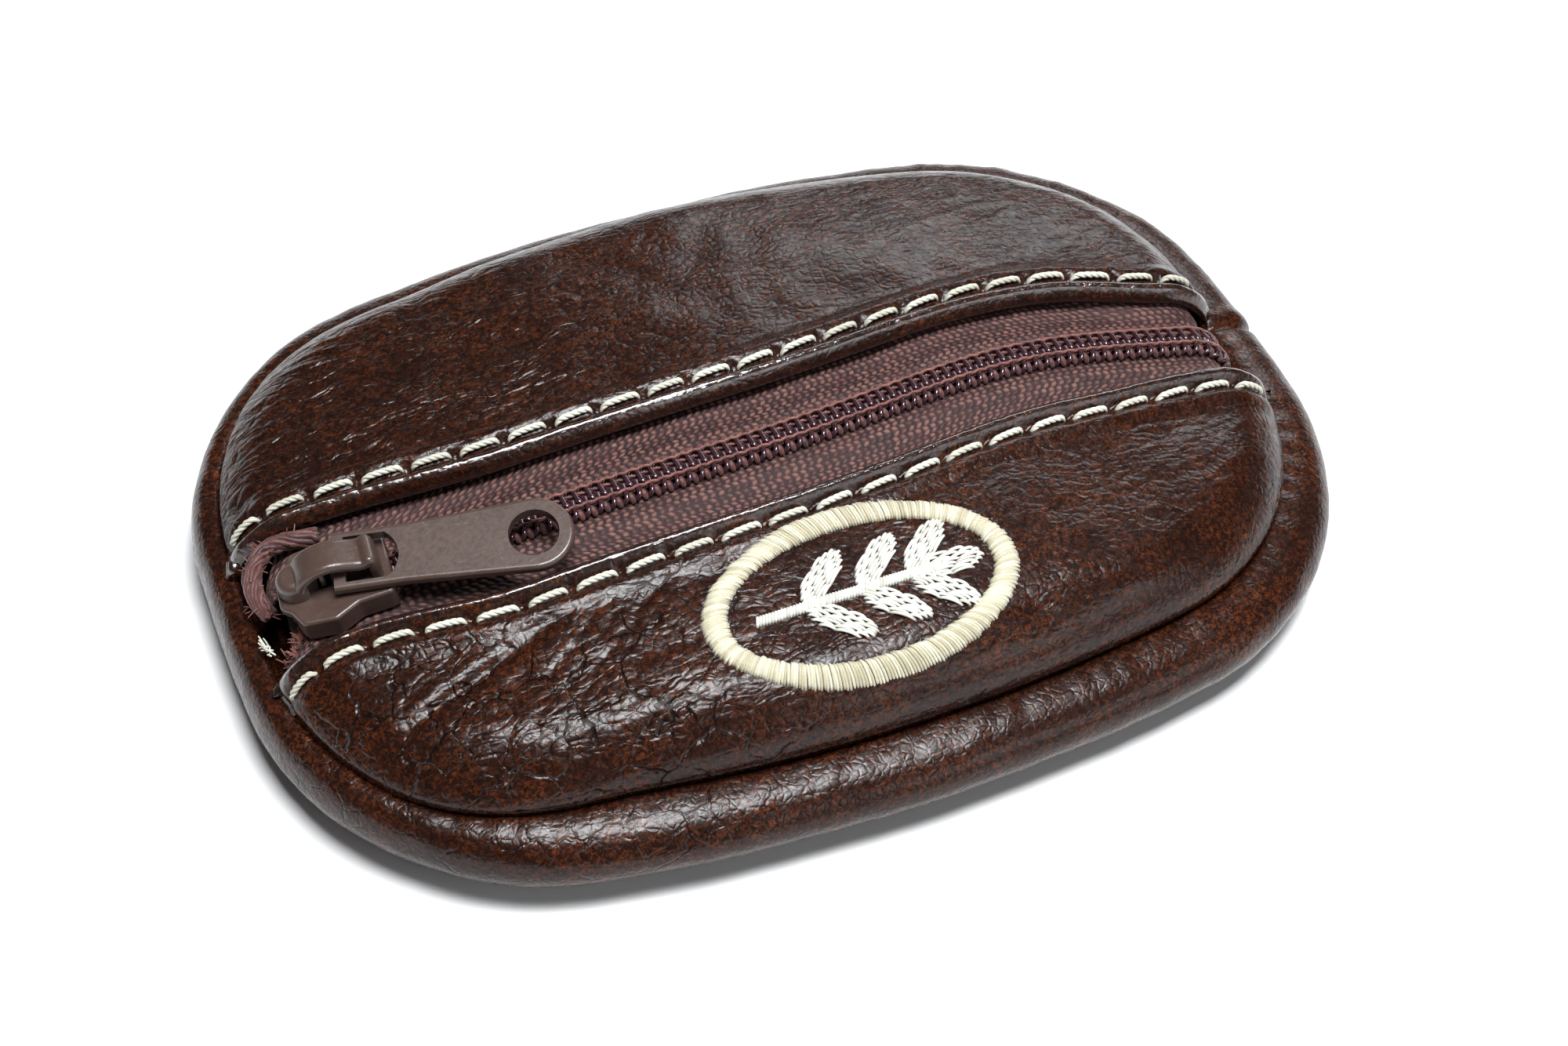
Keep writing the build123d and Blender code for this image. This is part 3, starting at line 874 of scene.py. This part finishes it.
def zip_track(run, y, lift):
    """As on_arc, but the ends roll down towards the seams."""
    sign = 1 if run > 0 else -1
    y += zip_bend(run)
    flat = END_TURN if run > 0 else END_TURN + SLIDER_END_BULGE
    over = abs(run) - flat
    if over <= 0:
        return on_arc(run, y, lift)
    base = on_arc(sign * flat, y, 0)
    slope = flat / ZIP_ARC
    turn = min(over / ROLL, FULL_ROLL)
    rest = max(0.0, over - FULL_ROLL * ROLL)
    heading = slope + turn
    x = ROLL * (sin(heading) - sin(slope)) + rest * cos(heading)
    z = ROLL * (cos(heading) - cos(slope)) - rest * sin(heading)
    return Vector((base.x + sign * (x + lift * sin(heading)), y, base.z + z + lift * cos(heading)))


WEAVE_ROW = 0.52
WEAVE_STEP = 0.88


def weave(run, across):
    """Height of the tape's weave and its painted highlight and shade: short bumps, slanted one way and
    then the other.
    """
    row = across / WEAVE_ROW
    line = int(row)
    fy = row - line
    along = run / WEAVE_STEP + 0.61 * line + (0.3 if line % 2 else -0.3) * fy
    fx = along % 1.0
    high = (1 - (2 * fy - 1) ** 2) * max(0.0, 1 - ((fx - 0.42) / 0.34) ** 4)
    own = 0.35 + 1.1 * ((line * 37 + int(along) * 101 + int(along) ** 2 * 7) % 17) / 17
    # the second value is painted light: lightest on each bump's top, dark between, times a tone that
    # differs from bump to bump
    return high, high * own


TAPE_INNER = 1.0
TAPE_LOW = -(END_TURN + SLIDER_END_BULGE + 7.0)
TAPE_HIGH = END_TURN + 8.3


def tape_piece(name, side, node, body, reach_out):
    """Woven tape from under the coil to below the leather, its ends cut back where it is hidden."""
    cols = 1000
    rows = 84
    points = []
    painted_weave_light = []
    for i in range(cols + 1):
        run = TAPE_LOW + (TAPE_HIGH - TAPE_LOW) * i / cols
        splay = smooth(-48.5, -53.0, run)
        for j in range(rows + 1):
            across = TAPE_INNER + (reach_out - TAPE_INNER) * j / rows
            high, shade = weave(run, across)
            dip = 0.35 * swell(run, across, side, 9.0) - 0.35 * bump(5.2, 1.6, across)
            lift = 0.11 * high + dip * smooth(2.8, 4.2, across)
            tucked = 0.7 * smooth(38.0, 44.0, run) * smooth(3.2, 5.0, across)
            opened = splay * 2.4 * smooth(6.0, 1.0, across)
            cut_back = run * (1 - 0.09 * smooth(3.5, 8.0, across))
            points.append(zip_track(cut_back, ZIP_Y + side * (across + opened), lift + tucked))
            painted_weave_light.append(shade)
    piece = make_mesh(name, points, grid_faces(cols + 1, rows + 1), cloth)
    # the weave's painted highlight and shade go to the cloth's colour
    point_values(piece, "strand", painted_weave_light)
    if side > 0:
        piece.data.flip_normals()
    thicken(piece, TAPE, -1)
    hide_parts(node)
    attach(piece, body)
    return piece


tape_piece("tape_front_cloth", -1, "tape_front", "mouth_front", 10.0)
tape_piece("tape_rear_cloth", 1, "tape_rear", "mouth_rear", 9.0)


def curve_through(spots, count):
    """Smooth path through a few points."""
    knots = [Vector(spots[0])] + [Vector(spot) for spot in spots] + [Vector(spots[-1])]
    path = []
    for k in range(count):
        place = k / (count - 1) * (len(spots) - 1)
        at = min(int(place), len(spots) - 2)
        t = place - at
        a, b, c, d = knots[at:at + 4]
        path.append(0.5 * (2 * b + (c - a) * t + (2 * a - 5 * b + 4 * c - d) * t**2
                           + (3 * b - a - 3 * c + d) * t**3))
    return path


def anywhere(low, high):
    """Random vector between two corners."""
    return Vector([random.uniform(a, b) for a, b in zip(low, high)])


def loose_thread(tubes, start, push, bend, radii, shade):
    """Short free thread that leaves start along push and bends away."""
    path = [start + push * n / 5 + bend * (n / 5) ** 2 for n in range(6)]
    tubes.add(path, radii, 5, shade)


def rolled_end_piece():
    """Cut end of the rear tape, rolled up and frayed beyond the slider's nose."""
    tubes = Tubes()
    middle = curve_through([(-45.8, 2.7, 13.4), (-48.6, 3.1, 13.4), (-50.9, 2.8, 13.2),
                            (-52.6, 1.0, 12.6), (-53.0, -1.2, 11.8), (-52.2, -2.8, 10.6)], 60)
    for strand in range(9):
        path = []
        radii = []
        for k, spot in enumerate(middle):
            ahead = (middle[min(k + 1, 59)] - middle[max(k - 1, 0)]).normalized()
            side = ahead.cross(Vector((0, 0, 1))).normalized()
            turn = strand * 2 * pi / 9 + 0.13 * k + 0.5 * swell(strand * 7.0, k, 0.0, 6.0)
            around = 0.62 + 0.16 * swell(k, strand * 5.0, 3.0, 5.0)
            path.append(spot + side * around * cos(turn) + ahead.cross(side) * around * sin(turn))
            radii.append(0.30 + 0.07 * swell(k, strand * 9.0, 8.0, 2.0))
        tubes.add(path, radii, 7, random.uniform(0.02, 0.40))
    for _ in range(46):
        spot = random.choice(middle[8:])
        push = anywhere((-1, -1, -0.3), (0.6, 1, 1)).normalized()
        bend = anywhere((-1, -1, -1), (1, 1, 1)) * 0.35
        loose_thread(tubes, spot + push * 0.5, push, bend, [0.07, 0.065, 0.06, 0.055, 0.05, 0.04],
                     random.uniform(0.3, 1.0))
    piece = tubes.make("tape_rear_rolled_end", zip_thread)
    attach(piece, "mouth_rear")


def frayed_end_piece():
    """Loose threads along the cut end of the front tape."""
    tubes = Tubes()
    for k in range(150):
        t = k / 149
        run = -47.6 - 6.6 * t + random.uniform(-0.3, 0.3)
        inner = TAPE_INNER + 2.4 * smooth(-48.5, -53.0, run) + random.uniform(-0.1, 0.35)
        start = zip_track(run, ZIP_Y - inner, 0.02)
        push = anywhere((-0.9, 0.1, -0.2), (0.4, 0.9, 0.7))
        bend = anywhere((-1, -1, -1), (1, 1, 1)) * 0.3
        reach = random.uniform(0.4, 1.3)
        loose_thread(tubes, start, push * reach, bend, [0.12, 0.11, 0.10, 0.09, 0.08, 0.05],
                     random.uniform(0.25, 1.0))
    piece = tubes.make("tape_front_frayed_end", zip_thread)
    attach(piece, "mouth_front")


def thread_tuft_piece():
    """Cut ends of the topstitching thread at the slider's end."""
    tubes = Tubes()
    sag = Vector((0, 0, -0.25))
    for _ in range(12):
        start = Vector((-53.3 + random.uniform(-0.4, 0.4), -6.4 + random.uniform(-0.8, 0.8), 10.2))
        push = anywhere((-0.9, -0.6, 0.2), (0.2, 0.9, 0.9))
        loose_thread(tubes, start, push * 1.3, sag, [0.10, 0.10, 0.09, 0.08, 0.07, 0.05],
                     random.uniform(0.7, 1.1))
    piece = tubes.make("topstitch_cut_ends", cream)
    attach(piece, "mouth_front")


rolled_end_piece()
frayed_end_piece()
thread_tuft_piece()

COIL_START = -42.6
COIL_END = END_TURN + 6.7
COIL_TURNS = int((COIL_END - COIL_START) / PITCH)
STRAND = 0.27


def coil_piece(name, side, shift, node, body):
    """Nylon filament wound flat; the rear coil's heads reach over the middle line."""
    tubes = Tubes()
    path = []
    radii = []
    reach = 0.925 if side < 0 else 0.875
    back = 1.85 if side < 0 else 1.35
    steps = 18
    for k in range(COIL_TURNS * steps + 1):
        phase = 2 * pi * k / steps
        run = COIL_START + (k / steps + shift) * PITCH
        lead = 0.22 * PITCH * sin(2 * phase)
        c, s = cos(phase), sin(phase)
        wide = reach * (1 if c > 0 else -1) * abs(c) ** 0.72
        tall = 0.36 * (1 if s > 0 else -1) * abs(s) ** 0.8
        head = bump(1.0, 0.35, -c)
        y = ZIP_Y + side * (back - reach + wide)
        path.append(zip_track(run + lead * 0.3, y, 0.60 + tall + 0.06 * head))
        radii.append((STRAND + 0.05 * head, STRAND + 0.03 * head))
    tubes.add(path, radii, 8, 0.5)
    piece = tubes.make(name, coil_look)
    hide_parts(node)
    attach(piece, body)
    return piece


coil_piece("coil_front_filament", -1, 0.0, "coil_front", "mouth_front")
coil_piece("coil_rear_filament", 1, 0.5, "coil_rear", "mouth_rear")


def zip_sewing_piece(name, side, node, body):
    """Braided row over the strands and a row of wrapped knobs over the coil's back bends."""
    tubes = Tubes()
    shift = 0.5 if side > 0 else 0.0
    row = 0.95 if side < 0 else 1.12
    for k in range(2 * COIL_TURNS):
        run = COIL_START + (k / 2 + shift) * PITCH
        lean = 0.13 if k % 2 else -0.13
        path = []
        for n in range(7):
            t = -1 + n / 3
            y = ZIP_Y + side * (row + lean * t)
            path.append(zip_track(run + t * 0.44 * PITCH, y, 1.24 - 0.10 * t * t))
        tubes.add(path, [0.08, 0.12, 0.14, 0.15, 0.14, 0.12, 0.08], 6, random.uniform(0.35, 0.8))
    knob = [0.20, 0.27, 0.31, 0.33, 0.34, 0.33, 0.31, 0.27, 0.20]
    for k in range(COIL_TURNS):
        run = COIL_START + (k + shift + 0.5) * PITCH
        path = []
        for n in range(9):
            t = -1 + n / 4
            y = ZIP_Y + side * (1.62 + 0.40 * t)
            path.append(zip_track(run + 0.12 * t, y, 0.72 - 0.20 * t - 0.30 * t * t))
        tubes.add(path, knob, 8, random.uniform(0.10, 0.30))
    piece = tubes.make(name, zip_thread)
    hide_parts(node)
    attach(piece, body)
    return piece


zip_sewing_piece("coil_sewing_front", -1, "coil_thread_front", "mouth_front")
zip_sewing_piece("coil_sewing_rear", 1, "coil_thread_rear", "mouth_rear")


def core_piece(name, side, node, body):
    """Filler cord inside a coil, lightly twisted."""
    tubes = Tubes()
    for ply in range(2):
        path = []
        for k in range(360):
            run = COIL_START + (COIL_END - COIL_START) * k / 359
            twist = run * 2.4 + ply * pi
            path.append(zip_track(run, ZIP_Y + side * (0.85 + 0.11 * cos(twist)), 0.6 + 0.09 * sin(twist)))
        tubes.add(path, [0.14] * 360, 6, 0.2 + 0.3 * ply)
    piece = tubes.make(name, zip_thread)
    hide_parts(node)
    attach(piece, body)


core_piece("coil_core_front_cord", -1, "coil_core_front", "mouth_front")
core_piece("coil_core_rear_cord", 1, "coil_core_rear", "mouth_rear")


# ------------------------------------------------------------- embroidery

MOTIF_X = -1.5
MOTIF_Y = -24.7


def strand_over(tubes, start, end, rise, size, shade, steps=8):
    """One stitch that lies on the leather from start to end, domed by rise."""
    path = []
    radii = []
    for k in range(steps + 1):
        t = k / steps
        x = start[0] + (end[0] - start[0]) * t
        y = start[1] + (end[1] - start[1]) * t
        dome = (1 - abs(2 * t - 1) ** 3.0) * rise
        path.append((x, y, skin(x, y, -1) - 0.10 + dome))
        radii.append((size, size * 0.9))
    tubes.add(path, radii, 6, shade)


def ring_piece():
    """Satin ring: closely laid stitches across its width, all leaning one way."""
    tubes = Tubes()
    count = 300
    for k in range(count):
        angle = 2 * pi * k / count
        lean = 0.030
        outer = 1.0 + random.uniform(-0.008, 0.012)
        inner = 1.0 + random.uniform(-0.015, 0.010)
        a = angle - lean
        b = angle + lean
        start = (MOTIF_X + 13.3 * inner * cos(a), MOTIF_Y + 6.9 * inner * sin(a))
        end = (MOTIF_X + 15.5 * outer * cos(b), MOTIF_Y + 8.9 * outer * sin(b))
        strand_over(tubes, start, end, 0.55, 0.155, random.uniform(0.25, 0.9))
    piece = tubes.make("emblem_satin_ring", satin)
    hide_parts("emblem_ring")
    follow_zip(piece)
    return piece


def leaf_stitches(tubes, x, y, turn, half, wide):
    """Fill stitches along a leaf, in rows like bricks."""
    c, s = cos(turn), sin(turn)
    rows = int(2 * wide / 0.30)
    for row in range(rows + 1):
        v = -wide + 2 * wide * row / rows
        reach = half * sqrt(max(0.0, 1 - (abs(v) / wide) ** 1.6))
        if reach < 0.5:
            continue
        left = -reach + random.uniform(-0.12, 0.12)
        step = 2.1
        first = left + (0.5 + 0.5 * (row % 3) / 2) * step
        cuts = [left]
        while first < reach - 0.5:
            cuts.append(first)
            first += step
        cuts.append(reach + random.uniform(-0.12, 0.12))
        for a, b in zip(cuts, cuts[1:]):
            start = (MOTIF_X + x + a * c - v * s, MOTIF_Y + y + a * s + v * c)
            end = (MOTIF_X + x + b * c - v * s, MOTIF_Y + y + b * s + v * c)
            strand_over(tubes, start, end, 0.34, 0.165, random.uniform(0.3, 1.0), 6)


def sprig_piece():
    """Stem in satin stitch with seven filled leaves."""
    tubes = Tubes()
    for k in range(64):
        x = MOTIF_X - 10.5 + 19.0 * k / 63
        strand_over(tubes, (x - 0.2, MOTIF_Y - 0.5), (x + 0.2, MOTIF_Y + 0.5), 0.42, 0.155,
                    random.uniform(0.3, 1.0), 6)
    leaf_stitches(tubes, 9.0, 0, 0, 3.3, 1.45)
    for x in (-5.0, 0.5, 5.5):
        for side in (-1, 1):
            leaf_stitches(tubes, x + 1.9, side * 2.5, side * radians(40), 3.4, 1.4)
    piece = tubes.make("emblem_filled_sprig", fill_thread)
    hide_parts("emblem_sprig")
    follow_zip(piece)
    return piece


ring_piece()
sprig_piece()


# ------------------------------------------------- CAD nodes that stay shown

for node_name, look in (("slider_body", enamel), ("slider_cap", enamel), ("pull_tab", enamel),
                        ("lock_pawl", pin_look), ("top_seam_thread", seam_thread),
                        ("bottom_seam_thread", seam_thread), ("band_join_thread", seam_thread)):
    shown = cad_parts[node_name]
    shown.data.materials.clear()
    shown.data.materials.append(look)


# --------------------------------------------------------- floor, light, camera

def area_light(name, power, size, place, aim, tint=(1, 1, 1)):
    """Soft rectangular light aimed at a point, in metres."""
    data = bpy.data.lights.new(name, "AREA")
    data.shape = "RECTANGLE"
    data.size, data.size_y = size
    data.energy = power
    data.color = tint
    lamp = bpy.data.objects.new(name, data)
    lamp.location = place
    lamp.rotation_euler = (Vector(place) - Vector(aim)).to_track_quat("Z", "Y").to_euler()
    bpy.context.scene.collection.objects.link(lamp)
    return lamp


FLOOR_HALF = 1500
corners = [(x * FLOOR_HALF, y * FLOOR_HALF, 0) for x, y in ((-1, -1), (1, -1), (1, 1), (-1, 1))]
floor = make_mesh("floor", corners, [(0, 1, 2, 3)], floor_look())

world = bpy.data.worlds.new("studio")
bpy.context.scene.world = world
world.use_nodes = True
world.node_tree.nodes["Background"].inputs["Color"].default_value = (0.95, 0.98, 1.0, 1)
world.node_tree.nodes["Background"].inputs["Strength"].default_value = 0.08

area_light("overhead", 4.4, (0.24, 0.16), (0.02, -0.07, 0.50), (0, 0, 0.01), (0.96, 0.98, 1.0))
area_light("window", 1.0, (0.36, 0.12), (0.32, 0.40, 0.30), (0, 0, 0.01), (0.90, 0.96, 1.0))
area_light("front", 0.6, (0.35, 0.20), (0.24, -0.42, 0.22), (0, 0, 0.01), (0.95, 0.98, 1.0))


CAMERA_DISTANCE = 0.2507
CAMERA_AIM = Vector((-3.11, -10.41, 12)) * MM


def make_camera():
    """Close view from the front left, about fifty degrees above the table."""
    azimuth = radians(-25.7)
    elevation = radians(49.6)
    roll = radians(3.8)
    back = Vector((sin(azimuth) * cos(elevation), -cos(azimuth) * cos(elevation), sin(elevation)))
    right = Vector((cos(azimuth), sin(azimuth), 0))
    up = back.cross(right)
    across = right * cos(roll) + up * sin(roll)
    upward = up * cos(roll) - right * sin(roll)
    data = bpy.data.cameras.new("camera")
    data.lens = 59.3
    data.sensor_width = 36
    data.clip_start = 0.01
    camera = bpy.data.objects.new("camera", data)
    turn = Matrix((across, upward, back)).transposed().to_4x4()
    camera.matrix_world = Matrix.Translation(CAMERA_AIM + back * CAMERA_DISTANCE) @ turn
    bpy.context.scene.collection.objects.link(camera)
    bpy.context.scene.camera = camera


make_camera()

scene = bpy.context.scene
scene.view_settings.view_transform = "Standard"
